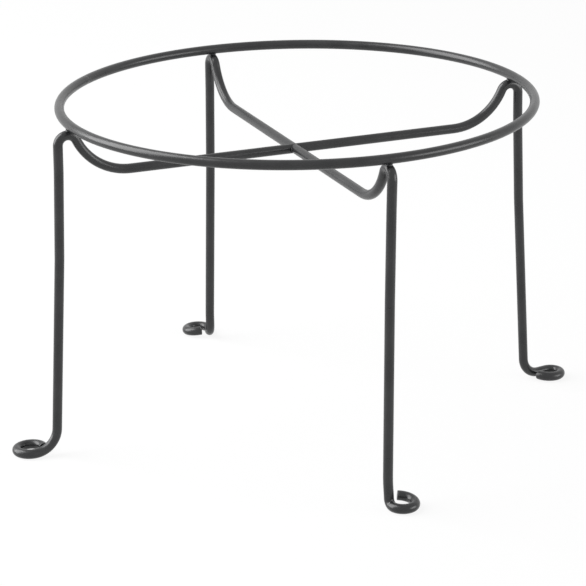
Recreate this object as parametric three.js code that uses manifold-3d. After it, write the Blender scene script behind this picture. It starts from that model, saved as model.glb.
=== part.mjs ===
// A low stand for one round plant pot, bent from round steel wire and welded.
//
// Two cross bars meet level in the middle. Each bar dips under the ring, rises to a small arch
// that the ring is welded on, and goes down as a leg to a foot curled flat on the floor. The bar
// from front to back is one rod. The other is two rods whose ends are shaped to fit its flanks.
//
// Millimetres, +Z up. The floor is z = 0, and the last lines move the stand sideways so that the
// origin is under the middle of its box.
import * as THREE from "three";
import { mergeVertices } from "three/addons/utils/BufferGeometryUtils.js";
import Module from "manifold-3d";

const wasm = await Module();
wasm.setup();

// The ring that the pot's body passes through.
const RING_OUTER_DIAMETER = 300;
const RING_WIRE_DIAMETER = 6;
const RING_SHIFT_X = 1.85; // the ring was welded on a little off the middle of the cross
const RING_SHIFT_Y = -0.8;
const RING_SEAM_HEADING = 135; // degrees, where the two ends of the ring's bar meet

// The rods below it.
const ROD_DIAMETER = 6;
const STAND_HEIGHT = 214.4; // floor to the top of the ring
const BAR_DROP = 34.3; // top of the ring down to the middle of the cross bars
const DIP_RADIUS = 37.2;
const ARCH_RADIUS = 6.1;
const DIP_TO_ARCH = 0.6; // straight run between the two bends
const LEG_TOP_SPLAY = 0.6; // degrees outwards, above the knee
const KNEE_HEIGHT = 155;
const KNEE_LENGTH = 55; // the knee is a soft bend, this long
const ANKLE_HEIGHT = 20;
const ANKLE_RADIUS = 60;

// Welds.
const CLEARANCE = 0.3; // between two pieces that touch
const SEAM_WELD_THICKNESS = 1.2;
const CROSS_WELD_THICKNESS = 0.6;
const CROSS_WELD_REINFORCEMENT = 0.15; // how far it stands proud of the rod
const BEAD_OFFSET = 2.3; // from the middle of the arch's top to the middle of a bead
const BEAD_DEPTH = 1.3; // half sizes of a bead: along the rod, along the ring and upright
const BEAD_WIDTH = 2.3;
const BEAD_HEIGHT = 1.4;

// How finely round things are drawn.
const WIRE_SIDES = 12;
const CHORD_ERROR = 0.05; // between a bend and its chords
const BEAD_SEGMENTS = 16;
const SHORTEST_EDGE = 0.01; // a shorter edge is merged away

// The powder coat.
const COAT_COLOUR = 0x3a3b3c;
const COAT_ROUGHNESS = 0.5;
const COAT_METALNESS = 0.2;

// The four legs, each bent by hand and so a little different from the others. Degrees and
// millimetres. archOffset moves the top of the arch outwards from the ring. A leg splays outwards
// and leans to one side, and above the foot it may lean once more. footBend is the radius of the
// bend at the floor. The toe turns away from straight outwards before the curl. curl is +1 for a
// foot that curls to the left of someone who walks outwards. Its second half is lifted by curlLift
// and has its own radius, and the tip after it is straight.
const LEGS = {
  right: {
    heading: 0, archOffset: 1.8, splay: 3, lean: 0.8, ankleLean: 0,
    footBend: 12.3, toeTurn: -10.7, toeLength: 6,
    curl: -1, curlSweep: 253, curlStartRadius: 6.4, curlEndRadius: 8.5, curlLift: 2.4, tipLength: 1.5,
  },
  back: {
    heading: 90, archOffset: 0.1, splay: 4, lean: 0.3, ankleLean: -2.1,
    footBend: 10, toeTurn: -13.2, toeLength: 3.5,
    curl: 1, curlSweep: 277, curlStartRadius: 7.6, curlEndRadius: 8.3, curlLift: 7.6, tipLength: 0.1,
  },
  left: {
    heading: 180, archOffset: -0.2, splay: 3.1, lean: -0.8, ankleLean: 0,
    footBend: 15, toeTurn: -3.5, toeLength: 0.4,
    curl: -1, curlSweep: 277, curlStartRadius: 8.3, curlEndRadius: 8.3, curlLift: 1.6, tipLength: 1.4,
  },
  front: {
    heading: 270, archOffset: -1.2, splay: 2.6, lean: -2, ankleLean: 3.7,
    footBend: 4, toeTurn: 4.7, toeLength: 0.3,
    curl: 1, curlSweep: 243.5, curlStartRadius: 7, curlEndRadius: 8.9, curlLift: 6.6, tipLength: 1.6,
  },
};

// What follows from them.
const RING_RADIUS = (RING_OUTER_DIAMETER - RING_WIRE_DIAMETER) / 2;
const RING_HEIGHT = STAND_HEIGHT - RING_WIRE_DIAMETER / 2;
const BAR_HEIGHT = STAND_HEIGHT - BAR_DROP;
const ARCH_HEIGHT = RING_HEIGHT - RING_WIRE_DIAMETER / 2 - CLEARANCE - ROD_DIAMETER / 2;
const BEAD_LEVEL = ARCH_HEIGHT + (ROD_DIAMETER + CLEARANCE) / 2;
const FAR = 2 * RING_OUTER_DIAMETER; // from the middle to well past the stand
const UP = new THREE.Vector3(0, 0, 1);
const OUTWARDS = new THREE.Vector3(1, 0, 0);

// The centre line of a wire, laid the way a bender works along a bar: it goes straight for a
// length or bends round an axis. It keeps a station at each end of a straight run, and in a bend
// as many as the chord error asks for. The wire is level where it was begun.
class BentWire extends THREE.Curve {
  constructor(points, headings, levelStation = 0) {
    super();
    this.points = points;
    this.headings = headings;
    this.levelStation = levelStation;
  }

  get end() {
    return this.points.at(-1);
  }

  get heading() {
    return this.headings.at(-1);
  }

  straight(length) {
    this.points.push(this.end.clone().addScaledVector(this.heading, length));
    this.headings.push(this.heading.clone());
    return this;
  }

  bend(axis, angle, radius) {
    const start = this.end;
    const along = this.heading;
    const inwards = new THREE.Vector3().crossVectors(axis, along).normalize();
    const steps = stepsRound(angle, radius);
    for (let step = 1; step <= steps; step++) {
      const turned = (angle * step) / steps;
      const point = start.clone().addScaledVector(along, radius * Math.sin(turned));
      point.addScaledVector(inwards, radius * (1 - Math.cos(turned)));
      const heading = along.clone().multiplyScalar(Math.cos(turned));
      heading.addScaledVector(inwards, Math.sin(turned));
      this.points.push(point);
      this.headings.push(heading);
    }
    return this;
  }

  bendTo(heading, radius) {
    const axis = new THREE.Vector3().crossVectors(this.heading, heading).normalize();
    return this.bend(axis, this.heading.angleTo(heading), radius);
  }

  // The same wire turned about the stand's middle, and the same wire from its other end.
  turned(angle) {
    const points = this.points.map((point) => point.clone().applyAxisAngle(UP, angle));
    const headings = this.headings.map((heading) => heading.clone().applyAxisAngle(UP, angle));
    return new BentWire(points, headings, this.levelStation);
  }

  reversed() {
    const headings = this.headings.toReversed().map((heading) => heading.clone().negate());
    const levelStation = this.points.length - 1 - this.levelStation;
    return new BentWire(this.points.toReversed(), headings, levelStation);
  }

  // This wire with another that starts where it ends.
  joined(next) {
    const points = [...this.points, ...next.points.slice(1)];
    const headings = [...this.headings, ...next.headings.slice(1)];
    return new BentWire(points, headings, this.levelStation);
  }

  // Stations are met at equal steps of the curve's parameter, wherever they are along the wire.
  getPoint(t, target = new THREE.Vector3()) {
    return target.copy(this.points[Math.round(t * (this.points.length - 1))]);
  }

  getPointAt(t, target) {
    return this.getPoint(t, target);
  }

  // The section is carried along both ways from the level station, and never turned about the wire.
  computeFrenetFrames() {
    const tangents = this.headings;
    const normals = [];
    const carry = (normal, station) => {
      normals[station] = normal.clone().projectOnPlane(tangents[station]).normalize();
      return normals[station];
    };
    const stations = [...tangents.keys()];
    stations.slice(this.levelStation).reduce(carry, UP);
    stations.slice(0, this.levelStation).reduceRight(carry, UP);
    const binormals = normals.map((normal, station) => tangents[station].clone().cross(normal));
    return { tangents, normals, binormals };
  }
}

function radians(degrees) {
  return THREE.MathUtils.degToRad(degrees);
}

function stepsRound(angle, radius) {
  return Math.ceil(Math.abs(angle) / (2 * Math.acos(1 - CHORD_ERROR / radius)));
}

// A wire's section as a polygon with a flat on its top, bottom and sides, the wire's diameter
// across the flats.
function sectionPoints(diameter) {
  const corner = diameter / 2 / Math.cos(Math.PI / WIRE_SIDES);
  return Array.from({ length: WIRE_SIDES }, (_, side) => {
    const angle = ((side + 0.5) * 2 * Math.PI) / WIRE_SIDES;
    return new THREE.Vector2(corner * Math.cos(angle), corner * Math.sin(angle));
  });
}

function solidOf(geometry) {
  geometry.deleteAttribute("normal");
  geometry.deleteAttribute("uv");
  const merged = mergeVertices(geometry);
  const vertProperties = new Float32Array(merged.attributes.position.array);
  const triVerts = new Uint32Array(merged.index.array);
  return new wasm.Manifold(new wasm.Mesh({ numProp: 3, vertProperties, triVerts }));
}

function geometryOf(solid) {
  const { vertProperties, triVerts } = solid.simplify(SHORTEST_EDGE).getMesh();
  const geometry = new THREE.BufferGeometry();
  geometry.setAttribute("position", new THREE.BufferAttribute(vertProperties, 3));
  geometry.setIndex(new THREE.BufferAttribute(triVerts, 1));
  geometry.computeVertexNormals();
  return geometry;
}

function wireSolid(wire, diameter) {
  const section = new THREE.Shape(sectionPoints(diameter));
  const steps = wire.points.length - 1;
  return solidOf(new THREE.ExtrudeGeometry(section, { steps, extrudePath: wire }));
}

// One half of a cross bar with its dip, arch, leg and foot, laid along +X.
function halfWire(leg) {
  const wire = new BentWire([new THREE.Vector3(0, 0, BAR_HEIGHT)], [OUTWARDS]);
  layBarAndArch(wire, RING_RADIUS + leg.archOffset);
  layLeg(wire, leg);
  layFoot(wire, leg);
  return wire.turned(radians(leg.heading));
}

// Level along the bar, up through the dip and over to the top of the arch. The slope between the
// two bends is the one that lifts the rod from the bar's height to the arch's.
function layBarAndArch(wire, reach) {
  const bends = DIP_RADIUS + ARCH_RADIUS;
  const lift = ARCH_HEIGHT - BAR_HEIGHT;
  const slope = Math.acos((bends - lift) / Math.hypot(bends, DIP_TO_ARCH))
    - Math.atan2(DIP_TO_ARCH, bends);
  const barLength = reach - bends * Math.sin(slope) - DIP_TO_ARCH * Math.cos(slope);
  const level = new THREE.Vector3(0, -1, 0);
  wire.straight(barLength);
  wire.bend(level, slope, DIP_RADIUS);
  wire.straight(DIP_TO_ARCH);
  wire.bend(level.negate(), slope, ARCH_RADIUS);
}

// Down from the top of the arch to the floor, with a soft knee that splays the leg outwards.
function layLeg(wire, leg) {
  const top = legHeading(LEG_TOP_SPLAY, leg.lean);
  const bottom = legHeading(leg.splay, leg.lean);
  const kneeAngle = top.angleTo(bottom);
  wire.bendTo(top, ARCH_RADIUS);
  const kneeTop = KNEE_HEIGHT + KNEE_LENGTH / 2;
  wire.straight((wire.end.z - kneeTop) / -top.z);
  wire.bendTo(bottom, KNEE_LENGTH / kneeAngle);
  wire.straight((wire.end.z - ANKLE_HEIGHT) / -bottom.z);
  const sideways = OUTWARDS.clone().multiplyScalar(Math.sign(leg.ankleLean));
  wire.bend(sideways, radians(Math.abs(leg.ankleLean)), ANKLE_RADIUS);
}

// Out along the floor and round in an open curl that ends in a short straight tip. The curl's
// first half lies flat, and its second half lifts a little.
function layFoot(wire, leg) {
  const toe = OUTWARDS.clone().applyAxisAngle(UP, radians(leg.toeTurn * leg.curl));
  const bendDrop = leg.footBend * Math.tan(wire.heading.angleTo(toe) / 2) * -wire.heading.z;
  wire.straight((wire.end.z - bendDrop - ROD_DIAMETER / 2) / -wire.heading.z);
  wire.bendTo(toe, leg.footBend);
  wire.straight(leg.toeLength);
  const axis = UP.clone().multiplyScalar(leg.curl);
  wire.bend(axis, radians(leg.curlSweep / 2), leg.curlStartRadius);
  axis.applyAxisAngle(wire.heading, radians(leg.curlLift * leg.curl));
  wire.bend(axis, radians(leg.curlSweep / 2), leg.curlEndRadius);
  wire.straight(leg.tipLength);
}

// A leg's way down, splayed outwards and leaning to one side.
function legHeading(splay, lean) {
  const down = new THREE.Vector3(Math.sin(radians(splay)), 0, -Math.cos(radians(splay)));
  return down.applyAxisAngle(OUTWARDS, radians(lean));
}

// A slab under the whole stand, its top at the floor.
function belowFloor() {
  const slab = new THREE.BoxGeometry(2 * FAR, 2 * FAR, ROD_DIAMETER);
  return solidOf(slab.translate(0, 0, -ROD_DIAMETER / 2));
}

function ringSolid(diameter) {
  const profile = sectionPoints(diameter);
  profile.push(profile[0].clone());
  profile.forEach((point) => point.add(new THREE.Vector2(RING_RADIUS, 0)));
  const quarter = stepsRound(Math.PI / 2, RING_RADIUS);
  const torus = new THREE.LatheGeometry(profile, 4 * quarter).rotateX(Math.PI / 2);
  return solidOf(torus.translate(RING_SHIFT_X, RING_SHIFT_Y, RING_HEIGHT));
}

// A slice across the ring where its bar's two ends meet.
function seamSlice(thickness) {
  const across = 2 * RING_WIRE_DIAMETER;
  const slice = new THREE.BoxGeometry(across, thickness, across).translate(RING_RADIUS, 0, 0);
  slice.rotateZ(radians(RING_SEAM_HEADING));
  return solidOf(slice.translate(RING_SHIFT_X, RING_SHIFT_Y, RING_HEIGHT));
}

function topRing() {
  return ringSolid(RING_WIRE_DIAMETER).subtract(seamSlice(SEAM_WELD_THICKNESS + 2 * CLEARANCE));
}

// The weld between the ends, ground flush with the ring.
function ringSeamWeld() {
  return ringSolid(RING_WIRE_DIAMETER).intersect(seamSlice(SEAM_WELD_THICKNESS));
}

// The half of the space on one side of the front-to-back rod.
function sideOfCross(heading) {
  const side = new THREE.BoxGeometry(FAR, 2 * FAR, 2 * FAR).translate(FAR / 2, 0, 0);
  return solidOf(side.rotateZ(radians(heading)));
}

const backWire = halfWire(LEGS.back);
const crossWire = halfWire(LEGS.front).reversed().joined(backWire);
const halfWires = { right: halfWire(LEGS.right), left: halfWire(LEGS.left) };
const floor = belowFloor();

function frontBackRod(diameter = ROD_DIAMETER) {
  return wireSolid(crossWire, diameter);
}

// A side rod, its inner end shaped to the flank of the rod that it meets.
function sideRod(name) {
  const distance = CROSS_WELD_THICKNESS + 2 * CLEARANCE;
  const flank = frontBackRod(ROD_DIAMETER + 2 * distance);
  return wireSolid(halfWires[name], ROD_DIAMETER).subtract(flank);
}

// The seam between that end and the flank, a thin saddle a little wider than the rod.
function crossWeld(name) {
  const rod = wireSolid(halfWires[name], ROD_DIAMETER + 2 * CROSS_WELD_REINFORCEMENT);
  const inside = frontBackRod(ROD_DIAMETER + 2 * CLEARANCE);
  const outside = frontBackRod(ROD_DIAMETER + 2 * (CLEARANCE + CROSS_WELD_THICKNESS));
  const seam = rod.intersect(outside).subtract(inside);
  return largestPiece(seam.intersect(sideOfCross(LEGS[name].heading)));
}

function largestPiece(solid) {
  return solid.decompose().reduce((a, b) => (a.volume() > b.volume() ? a : b));
}

// A bead of weld in the crevice between the ring and the top of an arch, on the ring's inner side
// (-1) or its outer side (+1).
function ringBead(leg, side) {
  const bead = new THREE.SphereGeometry(1, BEAD_SEGMENTS, BEAD_SEGMENTS / 2);
  bead.scale(BEAD_DEPTH, BEAD_WIDTH, BEAD_HEIGHT);
  bead.translate(RING_RADIUS + leg.archOffset + side * BEAD_OFFSET, 0, BEAD_LEVEL);
  const wire = halfWire(leg);
  const solid = solidOf(bead.rotateZ(radians(leg.heading)));
  return largestPiece(solid
    .subtract(ringSolid(RING_WIRE_DIAMETER + 2 * CLEARANCE))
    .subtract(wireSolid(wire, ROD_DIAMETER + 2 * CLEARANCE)));
}

function coated() {
  return new THREE.MeshStandardMaterial({
    color: COAT_COLOUR,
    roughness: COAT_ROUGHNESS,
    metalness: COAT_METALNESS,
  });
}

function piece(name, solid) {
  const mesh = new THREE.Mesh(geometryOf(solid), coated());
  mesh.name = name;
  return mesh;
}

const stand = new THREE.Group();
stand.add(piece("top_ring", topRing()));
stand.add(piece("ring_seam_weld", ringSeamWeld()));
stand.add(piece("front_back_rod", frontBackRod().subtract(floor)));
for (const name of ["right", "left"]) {
  stand.add(piece(`${name}_rod`, sideRod(name).subtract(floor)));
  stand.add(piece(`cross_weld_${name}`, crossWeld(name)));
}
for (const [name, leg] of Object.entries(LEGS)) {
  stand.add(piece(`ring_weld_${name}_inner`, ringBead(leg, -1)));
  stand.add(piece(`ring_weld_${name}_outer`, ringBead(leg, 1)));
}

const middle = new THREE.Box3().setFromObject(stand).getCenter(new THREE.Vector3());
stand.position.set(-middle.x, -middle.y, 0);

export default stand;
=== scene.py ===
import bpy
import numpy as np
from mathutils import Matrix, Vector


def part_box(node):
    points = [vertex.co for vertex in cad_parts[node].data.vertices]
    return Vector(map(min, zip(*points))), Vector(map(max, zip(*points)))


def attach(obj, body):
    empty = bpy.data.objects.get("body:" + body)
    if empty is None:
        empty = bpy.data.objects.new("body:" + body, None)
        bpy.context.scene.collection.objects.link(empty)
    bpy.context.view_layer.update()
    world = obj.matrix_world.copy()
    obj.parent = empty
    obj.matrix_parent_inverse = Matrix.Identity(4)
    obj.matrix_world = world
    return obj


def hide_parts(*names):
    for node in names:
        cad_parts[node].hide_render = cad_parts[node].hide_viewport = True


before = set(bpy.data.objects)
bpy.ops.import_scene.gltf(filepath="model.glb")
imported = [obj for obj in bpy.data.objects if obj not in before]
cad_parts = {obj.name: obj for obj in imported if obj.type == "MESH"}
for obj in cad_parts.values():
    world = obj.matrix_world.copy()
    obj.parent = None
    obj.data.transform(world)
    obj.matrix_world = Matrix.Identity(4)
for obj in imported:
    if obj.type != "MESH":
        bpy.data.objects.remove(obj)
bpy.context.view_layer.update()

# Front-back wire. One length of round steel wire that is bent at both ends: it dips under the ring,
# rises to a small arch that the ring is welded on, and goes down as a leg to a foot curled flat on
# the floor. The other bar's two wires are welded on its flanks, halfway along.
WIRE_RADIUS = 0.003
RING_RADIUS = 0.147
RING_HEIGHT = 0.2114
BAR_HEIGHT = 0.1801
ARCH_HEIGHT = RING_HEIGHT - 2 * WIRE_RADIUS
DIP_RADIUS = 0.0372
ARCH_RADIUS = 0.0061
DIP_TO_ARCH = 0.0006
LEG_TOP_SPLAY = 0.6
KNEE_HEIGHT = 0.155
KNEE_LENGTH = 0.055
ANKLE_HEIGHT = 0.020
ANKLE_RADIUS = 0.060
BEND_STEP = np.radians(4)
SIDES = 48
CUT_ROUNDING = 0.0004
ROUNDING_ROWS = 7
FACE_ROWS = np.array([0.66, 0.33])
RUBBED_ROWS = 6
RUBBED_HEIGHT = 0.0004
UP = np.array([0.0, 0.0, 1.0])
OUTWARDS = np.array([1.0, 0.0, 0.0])

# The bars cross a little off the middle of the ring, where the ring was welded on.
ring_low, ring_high = (np.array(corner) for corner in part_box("top_ring"))
RING_CENTRE = np.append((ring_low + ring_high)[:2] / 2, RING_HEIGHT)
CROSSING = RING_CENTRE - np.array([0.00185, -0.0008, RING_HEIGHT])

# Bent by hand, each leg and foot has its own angles in degrees and lengths in metres. The curl turns
# to the left or right (1 or -1) in two halves, of which the second climbs by the lift.
BACK_LEG = dict(
    heading=90, arch_offset=0.0001, splay=4, lean=0.3, ankle_lean=-2.1,
    foot_bend=0.010, toe_turn=-13.2, toe_length=0.0035,
    curl=1, curl_sweep=277, curl_start_radius=0.0076, curl_end_radius=0.0083,
    curl_lift=7.6, tip_length=0.0001)
FRONT_LEG = dict(
    heading=270, arch_offset=-0.0012, splay=2.6, lean=-2, ankle_lean=3.7,
    foot_bend=0.004, toe_turn=4.7, toe_length=0.0003,
    curl=1, curl_sweep=243.5, curl_start_radius=0.007, curl_end_radius=0.0089,
    curl_lift=6.6, tip_length=0.0016)


def turned(vectors, axis, angles):
    """The vectors turned about an axis k by every angle a at once:
    v cos a + (k x v) sin a + k (k . v)(1 - cos a)."""
    k = axis / np.linalg.norm(axis)
    a = np.atleast_1d(angles)[:, None, None]
    along = (vectors @ k)[:, None] * k
    return vectors * np.cos(a) + np.cross(k, vectors) * np.sin(a) + along * (1 - np.cos(a))


class BentWire:
    """A centre line bent as on a bench. Each station has a point and a frame of three rows: the
    heading, the side and the top of the section. A straight run moves the point by heading x length.
    A bend turns the point about a centre one radius away, and the frame with it, so the section is
    never twisted."""

    def __init__(self, start, heading):
        self.points = np.array([start], dtype=float)
        self.frames = np.array([[heading, np.cross(UP, heading), UP]], dtype=float)

    @property
    def heading(self):
        return self.frames[-1, 0]

    @property
    def height(self):
        return self.points[-1, 2]

    def straight(self, length):
        self.points = np.vstack([self.points, self.points[-1] + self.heading * length])
        self.frames = np.concatenate([self.frames, self.frames[-1:]])

    def bend(self, axis, angle, radius):
        if angle == 0:
            return
        steps = int(np.ceil(angle / BEND_STEP))
        angles = np.linspace(0, angle, steps + 1)[1:]
        inwards = np.cross(axis, self.heading)
        inwards = inwards / np.linalg.norm(inwards)
        axis = np.cross(self.heading, inwards)
        centre = self.points[-1] + inwards * radius
        self.points = np.vstack([self.points, centre + turned(-inwards[None] * radius, axis, angles)[:, 0]])
        self.frames = np.concatenate([self.frames, turned(self.frames[-1], axis, angles)])

    def bend_to(self, heading, radius):
        axis = np.cross(self.heading, heading)
        angle = np.arctan2(np.linalg.norm(axis), self.heading @ heading)
        self.bend(axis, angle, radius)

    def reversed(self):
        other = BentWire(self.points[0], self.heading)
        other.points = self.points[::-1]
        other.frames = self.frames[::-1] * np.array([[-1], [-1], [1]])
        return other

    def joined(self, other):
        wire = BentWire(self.points[0], self.heading)
        wire.points = np.vstack([self.points, other.points[1:]])
        wire.frames = np.concatenate([self.frames, other.frames[1:]])
        return wire


def leg_heading(splay, lean):
    """Straight down, tipped outwards by the splay and then sideways by the lean."""
    down = np.array([[np.sin(np.radians(splay)), 0, -np.cos(np.radians(splay))]])
    return turned(down, OUTWARDS, np.radians(lean))[0, 0]


def half_bar(leg):
    """Half a cross bar from the crossing to the tip of its foot, laid along +X and turned to its heading.
    With B the radii of dip and arch together and D the straight between them, the slope a of that
    straight gives the lift from bar to arch: B (1 - cos a) + D sin a."""
    bends = DIP_RADIUS + ARCH_RADIUS
    lift = ARCH_HEIGHT - BAR_HEIGHT
    slope = np.arccos((bends - lift) / np.hypot(bends, DIP_TO_ARCH)) - np.arctan2(DIP_TO_ARCH, bends)
    reach = RING_RADIUS + leg["arch_offset"]
    wire = BentWire([0, 0, BAR_HEIGHT], OUTWARDS)
    wire.straight(reach - bends * np.sin(slope) - DIP_TO_ARCH * np.cos(slope))
    wire.bend(np.array([0, -1, 0]), slope, DIP_RADIUS)
    wire.straight(DIP_TO_ARCH)
    wire.bend(np.array([0, 1, 0]), slope, ARCH_RADIUS)

    top = leg_heading(LEG_TOP_SPLAY, leg["lean"])
    bottom = leg_heading(leg["splay"], leg["lean"])
    wire.bend_to(top, ARCH_RADIUS)
    wire.straight((wire.height - KNEE_HEIGHT - KNEE_LENGTH / 2) / -top[2])
    wire.bend_to(bottom, KNEE_LENGTH / np.arccos(top @ bottom))
    wire.straight((wire.height - ANKLE_HEIGHT) / -bottom[2])
    wire.bend(OUTWARDS * np.sign(leg["ankle_lean"]), np.radians(abs(leg["ankle_lean"])), ANKLE_RADIUS)

    toe = turned(OUTWARDS[None], UP, np.radians(leg["toe_turn"] * leg["curl"]))[0, 0]
    down = wire.heading
    drop = leg["foot_bend"] * np.tan(np.arccos(down @ toe) / 2) * -down[2]
    wire.straight((wire.height - drop - WIRE_RADIUS) / -down[2])
    wire.bend_to(toe, leg["foot_bend"])
    wire.straight(leg["toe_length"])
    half_sweep = np.radians(leg["curl_sweep"] / 2)
    wire.bend(UP * leg["curl"], half_sweep, leg["curl_start_radius"])
    lifted = turned(UP[None] * leg["curl"], wire.heading, np.radians(leg["curl_lift"] * leg["curl"]))[0, 0]
    wire.bend(lifted, half_sweep, leg["curl_end_radius"])
    wire.straight(leg["tip_length"])

    heading = np.radians(leg["heading"])
    wire.points = turned(wire.points, UP, heading)[0] + CROSSING
    wire.frames = turned(wire.frames.reshape(-1, 3), UP, heading)[0].reshape(-1, 3, 3)
    return wire


def cut_end(rounding):
    """The rows of a cut end, from the wall to the middle of its face: how far each is set back, and its
    radius. Both follow a quarter circle of the rounding, and then the flat of the face."""
    quarter = np.linspace(0, np.pi / 2, ROUNDING_ROWS)
    set_back = rounding * (1 - np.sin(quarter))
    radius = WIRE_RADIUS - rounding * (1 - np.cos(quarter))
    return np.append(set_back, 0 * FACE_ROWS), np.append(radius, radius[-1] * FACE_ROWS)


def wire_mesh(name, wire, saddle=None):
    """A round section carried along the wire: point + r (side cos t + top sin t), with a cut end's rows at
    either end. A saddle end also starts where the wire meets a crossing wire of that radius R: at a
    height z it is set forward by sqrt(R R - z z), and its rounding fades from the flanks to the top,
    where the two wires are flush. The attribute "rubbed" is 1 on the rims of the cuts and under the foot."""
    start_set, start_radius = cut_end(CUT_ROUNDING if saddle is None else SADDLE_ROUNDING)
    end_set, end_radius = cut_end(CUT_ROUNDING)
    tail = len(end_set)
    between = len(wire.points) - 2
    rows = np.concatenate([np.full(tail, 0), np.arange(between) + 1, np.full(tail, between + 1)])
    points, frames = wire.points[rows], wire.frames[rows]
    radii = np.concatenate([start_radius[::-1], np.full(between, WIRE_RADIUS), end_radius])
    forward = np.concatenate([start_set[::-1], np.zeros(between), -end_set])

    angle = np.linspace(0, 2 * np.pi, SIDES, endpoint=False)
    radii = np.repeat(radii[:, None], SIDES, axis=1)
    forward = np.repeat(forward[:, None], SIDES, axis=1)
    rubbed = np.zeros(radii.shape)
    rubbed[-tail:][:RUBBED_ROWS] = 1
    if saddle is None:
        rubbed[:tail][-RUBBED_ROWS:] = 1
    else:
        flank = TOP_SHARE + (1 - TOP_SHARE) * np.cos(angle) ** 2
        radii[:tail] = WIRE_RADIUS - (WIRE_RADIUS - radii[:tail]) * flank
        height = radii[:tail] * np.sin(angle)
        forward[:tail] = forward[:tail] * flank + np.sqrt(saddle ** 2 - height ** 2)

    grid = sections(points, frames, angle, radii) + frames[:, 0, None] * forward[..., None]
    tip_start = points[0] + frames[0, 0] * forward[0].max()
    tip_end = points[-1] + frames[-1, 0] * forward[-1, 0]
    rubbed = np.maximum(rubbed, np.clip(1 - grid[..., 2] / RUBBED_HEIGHT, 0, 1))
    piece = closed_mesh(name, grid, tip_start, tip_end)
    marks = piece.data.attributes.new("rubbed", "FLOAT", "POINT")
    marks.data.foreach_set("value", np.append(rubbed.ravel(), [0, 0]))
    return piece


def sections(points, frames, angle, radii):
    """Round sections across the frames: point + r (side cos t + top sin t)."""
    across = frames[:, 1, None] * np.cos(angle)[:, None] + frames[:, 2, None] * np.sin(angle)[:, None]
    return points[:, None] + across * radii[..., None]


def closed_mesh(name, grid, tip_start, tip_end):
    """A closed skin over rows of points that each go once round. The two tips close the first and last
    rows."""
    rows, sides = grid.shape[:2]
    number = np.arange(rows * sides).reshape(rows, sides)
    beside = np.roll(number, -1, axis=1)
    quads = np.stack([number[:-1], beside[:-1], beside[1:], number[1:]], axis=-1).reshape(-1, 4)
    first_tip, last_tip = rows * sides, rows * sides + 1
    start_fan = np.stack([beside[0], number[0], np.full(sides, first_tip)], axis=-1)
    end_fan = np.stack([number[-1], beside[-1], np.full(sides, last_tip)], axis=-1)
    vertices = np.concatenate([grid.reshape(-1, 3), [tip_start], [tip_end]])
    return smooth_piece(name, vertices, quads.tolist() + start_fan.tolist() + end_fan.tolist())


def smooth_piece(name, vertices, faces):
    mesh = bpy.data.meshes.new(name)
    mesh.from_pydata(vertices.tolist(), [], faces)
    mesh.shade_smooth()
    piece = bpy.data.objects.new(name, mesh)
    bpy.context.collection.objects.link(piece)
    return piece


def powder_coat():
    """Satin powder coat on steel, dark grey: orange peel 1 to 2 mm long with a finer grain in it, a faint
    cloudiness in colour and gloss, and a paler coat where the rims of the cuts and the feet's undersides
    rub."""
    material = bpy.data.materials.new("satin_powder_coat")
    material.use_nodes = True
    nodes, links = material.node_tree.nodes, material.node_tree.links
    shader = nodes["Principled BSDF"]
    place = nodes.new("ShaderNodeTexCoord")

    cloud = nodes.new("ShaderNodeTexNoise")
    cloud.inputs["Scale"].default_value = 70
    cloud.inputs["Detail"].default_value = 4
    links.new(place.outputs["Object"], cloud.inputs["Vector"])
    colour = nodes.new("ShaderNodeValToRGB")
    colour.color_ramp.elements[0].position = 0.35
    colour.color_ramp.elements[0].color = (0.0125, 0.0130, 0.0140, 1)
    colour.color_ramp.elements[1].position = 0.65
    colour.color_ramp.elements[1].color = (0.0195, 0.0200, 0.0210, 1)
    links.new(cloud.outputs["Fac"], colour.inputs["Fac"])
    rubbed = nodes.new("ShaderNodeAttribute")
    rubbed.attribute_name = "rubbed"
    worn = nodes.new("ShaderNodeMath")
    worn.operation = "MULTIPLY"
    links.new(rubbed.outputs["Fac"], worn.inputs[0])
    links.new(cloud.outputs["Fac"], worn.inputs[1])
    paler = nodes.new("ShaderNodeMix")
    paler.data_type = "RGBA"
    paler.inputs["B"].default_value = (0.060, 0.060, 0.062, 1)
    links.new(worn.outputs[0], paler.inputs["Factor"])
    links.new(colour.outputs["Color"], paler.inputs["A"])
    links.new(paler.outputs["Result"], shader.inputs["Base Color"])

    gloss = nodes.new("ShaderNodeMapRange")
    gloss.inputs["From Min"].default_value = 0.3
    gloss.inputs["From Max"].default_value = 0.7
    gloss.inputs["To Min"].default_value = 0.25
    gloss.inputs["To Max"].default_value = 0.34
    links.new(cloud.outputs["Fac"], gloss.inputs["Value"])
    links.new(gloss.outputs["Result"], shader.inputs["Roughness"])

    peel = nodes.new("ShaderNodeTexNoise")
    peel.inputs["Scale"].default_value = 650
    peel.inputs["Detail"].default_value = 3
    peel.inputs["Roughness"].default_value = 0.45
    links.new(place.outputs["Object"], peel.inputs["Vector"])
    bump = nodes.new("ShaderNodeBump")
    bump.inputs["Strength"].default_value = 1
    bump.inputs["Distance"].default_value = 0.00004
    links.new(peel.outputs["Fac"], bump.inputs["Height"])
    links.new(bump.outputs["Normal"], shader.inputs["Normal"])
    shader.inputs["IOR"].default_value = 1.47
    return material


coat = powder_coat()


def coated(piece, node):
    piece.data.materials.append(coat)
    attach(piece, "root")
    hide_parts(node)


whole_wire = half_bar(FRONT_LEG).reversed().joined(half_bar(BACK_LEG))
coated(wire_mesh("front_back_wire", whole_wire), "front_back_rod")

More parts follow.
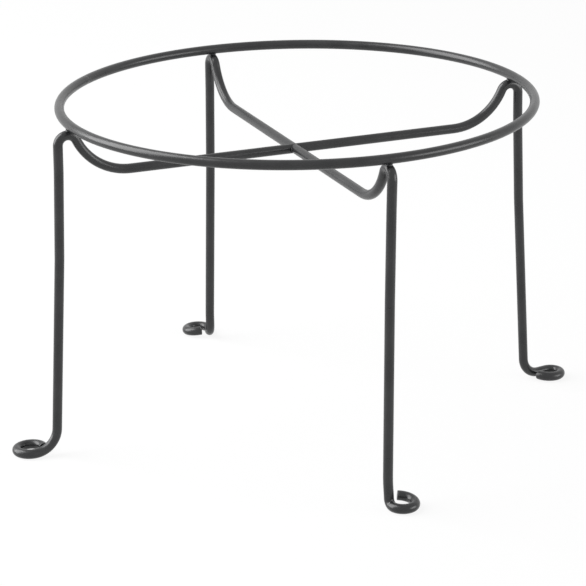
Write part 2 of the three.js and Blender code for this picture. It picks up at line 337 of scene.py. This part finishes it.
# Right and left wires. The same steel wire, each cut to a saddle at its inner end, pushed against the
# flank of the front-back wire and welded there, so that both bars lie at one height.
RIGHT_LEG = dict(
    heading=0, arch_offset=0.0018, splay=3, lean=0.8, ankle_lean=0,
    foot_bend=0.0123, toe_turn=-10.7, toe_length=0.006,
    curl=-1, curl_sweep=253, curl_start_radius=0.0064, curl_end_radius=0.0085,
    curl_lift=2.4, tip_length=0.0015)
LEFT_LEG = dict(
    heading=180, arch_offset=-0.0002, splay=3.1, lean=-0.8, ankle_lean=0,
    foot_bend=0.015, toe_turn=-3.5, toe_length=0.0004,
    curl=-1, curl_sweep=277, curl_start_radius=0.0083, curl_end_radius=0.0083,
    curl_lift=1.6, tip_length=0.0014)
SADDLE_GAP = 0.00005
SADDLE_ROUNDING = 0.0013
TOP_SHARE = 0.1

for side, leg in {"right": RIGHT_LEG, "left": LEFT_LEG}.items():
    side_wire = wire_mesh(f"{side}_wire", half_bar(leg), saddle=WIRE_RADIUS + SADDLE_GAP)
    coated(side_wire, f"{side}_rod")

# Cross welds. A thin run of weld round each saddle end, sunk into the corner and coated with the rest,
# so that only a soft line shows between the wires.
CROSS_WELD_RADIUS = 0.0007
CROSS_WELD_SINK = 0.0005
CROSS_FINE_RIPPLE = 0.04
CROSS_COARSE_RIPPLE = 0.05
CORNER_SOFTNESS = 0.25
BEAD_ROWS = 96
BEAD_SIDES = 16


def saddle_bead(name, heading):
    """A thin round bead carried along the line where two wires of one radius R cross:
    (R |cos t|, R cos t, R sin t), with the corners above and below softened."""
    t = np.linspace(0, 2 * np.pi, BEAD_ROWS, endpoint=False)
    soft = np.sqrt(np.cos(t) ** 2 + CORNER_SOFTNESS ** 2) - CORNER_SOFTNESS * np.abs(np.sin(t))
    line = WIRE_RADIUS * np.stack([soft, np.cos(t), np.sin(t)], axis=-1)
    along = np.roll(line, -1, axis=0) - np.roll(line, 1, axis=0)
    along /= np.linalg.norm(along, axis=1, keepdims=True)
    out = np.stack([soft, 2 * np.cos(t), 2 * np.sin(t)], axis=-1)
    out -= along * np.sum(out * along, axis=1, keepdims=True)
    out /= np.linalg.norm(out, axis=1, keepdims=True)
    side = np.cross(along, out)
    ripple = 1 + CROSS_FINE_RIPPLE * np.sin(15 * t) + CROSS_COARSE_RIPPLE * np.sin(5 * t + 1)
    angle = np.linspace(0, 2 * np.pi, BEAD_SIDES, endpoint=False)
    ring = out[:, None] * np.cos(angle)[:, None] + side[:, None] * np.sin(angle)[:, None]
    grid = (line - out * CROSS_WELD_SINK)[:, None] + ring * (CROSS_WELD_RADIUS * ripple)[:, None, None]
    grid = turned(grid.reshape(-1, 3), UP, np.radians(heading))[0].reshape(grid.shape)
    return looped_mesh(name, grid + CROSSING + UP * BAR_HEIGHT)


def looped_mesh(name, grid):
    """A closed skin over a grid that goes round in both directions, like a torus."""
    rows, sides = grid.shape[:2]
    number = np.arange(rows * sides).reshape(rows, sides)
    beside = np.roll(number, -1, axis=1)
    ahead = np.roll(number, -1, axis=0)
    opposite = np.roll(beside, -1, axis=0)
    quads = np.stack([number, beside, opposite, ahead], axis=-1).reshape(-1, 4)
    return smooth_piece(name, grid.reshape(-1, 3), quads.tolist())


for side, leg in {"right": RIGHT_LEG, "left": LEFT_LEG}.items():
    coated(saddle_bead(f"cross_weld_bead_{side}", leg["heading"]), f"cross_weld_{side}")

# Ring. A length of the same wire rolled round, its two ends butt-welded behind the left leg and the
# weld ground flush. The ring lies on the four arches.
SEAM_HEADING = 135
SEAM_WELD_THICKNESS = 0.0012
SEAM_GROUND_SPREAD = 2.4
SEAM_ROWS = 16
SEAM_SINK = 0.00009
SEAM_SWELL = 0.00006
RING_ROWS = 240


def ring_arc(start, sweep, steps):
    """An arc of the ring's centre line, with frames that keep the section upright."""
    heading = np.radians(start + sweep * np.linspace(0, 1, steps + 1))
    out = np.stack([np.cos(heading), np.sin(heading), 0 * heading], axis=-1)
    forward = np.stack([-np.sin(heading), np.cos(heading), 0 * heading], axis=-1)
    upright = np.broadcast_to(UP, out.shape)
    arc = BentWire(RING_CENTRE, OUTWARDS)
    arc.points = RING_CENTRE + out * RING_RADIUS
    arc.frames = np.stack([forward, np.cross(upright, forward), upright], axis=1)
    return arc


half_seam = np.degrees(SEAM_WELD_THICKNESS / 2 / RING_RADIUS)
open_ring = ring_arc(SEAM_HEADING + half_seam, 360 - 2 * half_seam, RING_ROWS)
coated(wire_mesh("pot_ring", open_ring), "top_ring")


def ground_seam(name):
    """The ground weld: the ring's section carried across the joint, from x = -1 to 1. Its radius swells by
    1 - x x and is rippled by the grinding, but stays within the wire's."""
    half_run = SEAM_GROUND_SPREAD * half_seam
    arc = ring_arc(SEAM_HEADING - half_run, 2 * half_run, SEAM_ROWS)
    x = np.linspace(-1, 1, SEAM_ROWS + 1)[:, None]
    angle = np.linspace(0, 2 * np.pi, SIDES, endpoint=False)
    swell = SEAM_SWELL * (1 - x ** 2) * (1 + 0.5 * np.sin(5 * angle + 2 * x))
    grid = sections(arc.points, arc.frames, angle, WIRE_RADIUS - SEAM_SINK + swell)
    return closed_mesh(name, grid, arc.points[0], arc.points[-1])


coated(ground_seam("ring_seam"), "ring_seam_weld")

# Ring welds. The ring was pressed down on each arch and welded, which left a low collar of weld round
# the point of contact: half of it inside the ring's bar and half outside, coated with the rest.
COLLAR_REACH = 0.0023
COLLAR_FINE_RIPPLE = 0.008
COLLAR_COARSE_RIPPLE = 0.03
COLLAR_HOLLOW = 0.0004
COLLAR_HALF_TURN = 96
COLLAR_ROWS = 65
COLLAR_SINK = 0.2
COLLAR_COLUMNS = 15
COLLAR_CORE = 0.1
BEAD_PHASE_STEP = 1.7


def ring_bead(name, leg, side, phase):
    """A fillet round one half of the point of contact, which lies on the line from the middle of the
    arch's bend to the middle of the ring's bar. Measured from that bend's middle, at each angle a about
    the line it goes from the arch's top, sqrt((A + sqrt(R R - y y))^2 - x x), to the ring's underside,
    L - sqrt(R R - x x), where L is the line's length. A share s of the way up it is hollowed by
    D (1 - (2 s - 1)^2). Its rims go on a little way into the wires, and so do its two ends past the
    other half's."""
    heading = np.radians(leg["heading"])
    aside = (RING_CENTRE - CROSSING) @ [np.cos(heading), np.sin(heading), 0] - leg["arch_offset"]
    above = ARCH_RADIUS + RING_HEIGHT - ARCH_HEIGHT
    a = np.radians(np.linspace(-COLLAR_HALF_TURN, COLLAR_HALF_TURN, COLLAR_ROWS))[:, None]
    s = np.linspace(1 + COLLAR_SINK, -COLLAR_SINK, COLLAR_COLUMNS)[::side]
    ripple = 1 + COLLAR_FINE_RIPPLE * np.sin(15 * a + phase)
    ripple = ripple + COLLAR_COARSE_RIPPLE * np.sin(3 * a + 2 * phase)
    reach = COLLAR_REACH * ripple - COLLAR_HOLLOW * (1 - (2 * s - 1) ** 2)
    x, y = reach * np.cos(a), reach * np.sin(a)
    underside = np.hypot(aside, above) - np.sqrt(WIRE_RADIUS ** 2 - x ** 2)
    arch_top = np.sqrt((ARCH_RADIUS + np.sqrt(WIRE_RADIUS ** 2 - y ** 2)) ** 2 - x ** 2)
    face = np.stack([side * x, y, arch_top + (underside - arch_top) * s], axis=-1)
    core = face.mean(axis=1, keepdims=True) * [COLLAR_CORE, COLLAR_CORE, 1]
    grid = np.concatenate([face, core], axis=1)
    shape = grid.shape
    grid = turned(grid.reshape(-1, 3), np.array([0, 1, 0]), np.arctan2(aside, above))[0]
    grid += np.array([RING_RADIUS + leg["arch_offset"], 0, ARCH_HEIGHT - ARCH_RADIUS])
    grid = turned(grid, UP, heading)[0].reshape(shape) + CROSSING
    return closed_mesh(name, grid, grid[0].mean(axis=0), grid[-1].mean(axis=0))


phase = 0.0
for place, leg in {"right": RIGHT_LEG, "back": BACK_LEG, "left": LEFT_LEG, "front": FRONT_LEG}.items():
    for half, side in {"inner": -1, "outer": 1}.items():
        phase += BEAD_PHASE_STEP
        coated(ring_bead(f"ring_bead_{place}_{half}", leg, side, phase), f"ring_weld_{place}_{half}")

# Studio. A plain white floor and room. A tall softbox stands behind on the left, and a smaller and
# weaker one low on the right. The room lights the stand as a grey and is seen as white, also in
# reflections, and the floor's share of shadow keeps it faintly under the stand.
FLOOR_RADIUS = 6.0
FLOOR_SIDES = 96
ROOM_GREY = 0.35
SHADOW_SHARE = 0.12
MIDDLE_HEIGHT = 0.1
STAND_MIDDLE = CROSSING + UP * MIDDLE_HEIGHT

edge = np.linspace(0, 2 * np.pi, FLOOR_SIDES, endpoint=False)
rim = FLOOR_RADIUS * np.stack([np.cos(edge), np.sin(edge), 0 * edge], axis=-1)
floor_mesh = bpy.data.meshes.new("studio_floor")
floor_mesh.from_pydata(rim.tolist(), [], [list(range(FLOOR_SIDES))])
studio_floor = bpy.data.objects.new("studio_floor", floor_mesh)
bpy.context.collection.objects.link(studio_floor)


def seen_white(nodes, links):
    """1 for a ray from the camera, a mirror ray or a ray through glass, and 0 for any other."""
    path = nodes.new("ShaderNodeLightPath")
    either = nodes.new("ShaderNodeMath")
    either.operation = "MAXIMUM"
    links.new(path.outputs["Is Camera Ray"], either.inputs[0])
    links.new(path.outputs["Is Glossy Ray"], either.inputs[1])
    any_of = nodes.new("ShaderNodeMath")
    any_of.operation = "MAXIMUM"
    links.new(either.outputs[0], any_of.inputs[0])
    links.new(path.outputs["Is Transmission Ray"], any_of.inputs[1])
    return any_of.outputs[0]


floor_paint = bpy.data.materials.new("white_floor_paint")
floor_paint.use_nodes = True
nodes, links = floor_paint.node_tree.nodes, floor_paint.node_tree.links
nodes["Principled BSDF"].inputs["Base Color"].default_value = (0.85, 0.85, 0.85, 1)
nodes["Principled BSDF"].inputs["Roughness"].default_value = 0.9
glow = nodes.new("ShaderNodeEmission")
share = nodes.new("ShaderNodeMath")
share.operation = "MULTIPLY"
links.new(seen_white(nodes, links), share.inputs[0])
share.inputs[1].default_value = 1 - SHADOW_SHARE
blend = nodes.new("ShaderNodeMixShader")
links.new(share.outputs[0], blend.inputs["Fac"])
links.new(nodes["Principled BSDF"].outputs[0], blend.inputs[1])
links.new(glow.outputs[0], blend.inputs[2])
links.new(blend.outputs[0], nodes["Material Output"].inputs["Surface"])
studio_floor.data.materials.append(floor_paint)

world = bpy.data.worlds.new("studio_room")
bpy.context.scene.world = world
world.use_nodes = True
nodes, links = world.node_tree.nodes, world.node_tree.links
shade = nodes.new("ShaderNodeMix")
shade.data_type = "RGBA"
links.new(seen_white(nodes, links), shade.inputs["Factor"])
shade.inputs["A"].default_value = (ROOM_GREY, ROOM_GREY, ROOM_GREY, 1)
shade.inputs["B"].default_value = (1, 1, 1, 1)
links.new(shade.outputs["Result"], nodes["Background"].inputs["Color"])

SOFTBOXES = {
    "left_softbox": dict(azimuth=-117, elevation=33, distance=2.5, width=2.1, height=3.0, watts=118),
    "right_softbox": dict(azimuth=50, elevation=10, distance=2.5, width=1.7, height=1.3, watts=30),
}


def away(azimuth, elevation):
    """The direction from the stand to what stands at these angles, in radians. An azimuth of 0 is
    straight in front."""
    level = np.cos(elevation)
    return np.array([np.sin(azimuth) * level, -np.cos(azimuth) * level, np.sin(elevation)])


for name, box in SOFTBOXES.items():
    lamp = bpy.data.lights.new(name, "AREA")
    lamp.shape = "RECTANGLE"
    lamp.size = box["width"]
    lamp.size_y = box["height"]
    lamp.energy = box["watts"]
    softbox = bpy.data.objects.new(name, lamp)
    bpy.context.collection.objects.link(softbox)
    azimuth, elevation = np.radians([box["azimuth"], box["elevation"]])
    softbox.location = STAND_MIDDLE + away(azimuth, elevation) * box["distance"]
    softbox.rotation_euler = (np.pi / 2 - elevation, 0, azimuth)
    softbox.visible_camera = False

# Camera. It stands where the photograph was taken from: in front and a little to the left, looking
# down by 19 degrees. Its angles are in radians, and the optical centre in pixels from the top left.
AZIMUTH = -0.3760
ELEVATION = 0.3282
ROLL = -0.0155
DISTANCE = 1.67486
AIM_HEIGHT = 0.084596
FOCAL_PIXELS = 2634.736
PICTURE_PIXELS = 586
OPTICAL_CENTRE = (296.66, 293.063)
SENSOR_WIDTH = 36

back = away(AZIMUTH, ELEVATION)
right = np.array([np.cos(AZIMUTH), np.sin(AZIMUTH), 0])
upright = np.cross(back, right)
lens = bpy.data.cameras.new("camera")
lens.sensor_width = SENSOR_WIDTH
lens.lens = FOCAL_PIXELS * SENSOR_WIDTH / PICTURE_PIXELS
lens.shift_x = (PICTURE_PIXELS / 2 - OPTICAL_CENTRE[0]) / PICTURE_PIXELS
lens.shift_y = (OPTICAL_CENTRE[1] - PICTURE_PIXELS / 2) / PICTURE_PIXELS
camera = bpy.data.objects.new("camera", lens)
bpy.context.collection.objects.link(camera)
matrix = np.eye(4)
matrix[:3, 0] = right * np.cos(ROLL) + upright * np.sin(ROLL)
matrix[:3, 1] = upright * np.cos(ROLL) - right * np.sin(ROLL)
matrix[:3, 2] = back
matrix[:3, 3] = CROSSING + UP * AIM_HEIGHT + back * DISTANCE
camera.matrix_world = matrix.T.tolist()
bpy.context.scene.camera = camera
bpy.context.scene.view_settings.view_transform = "Standard"
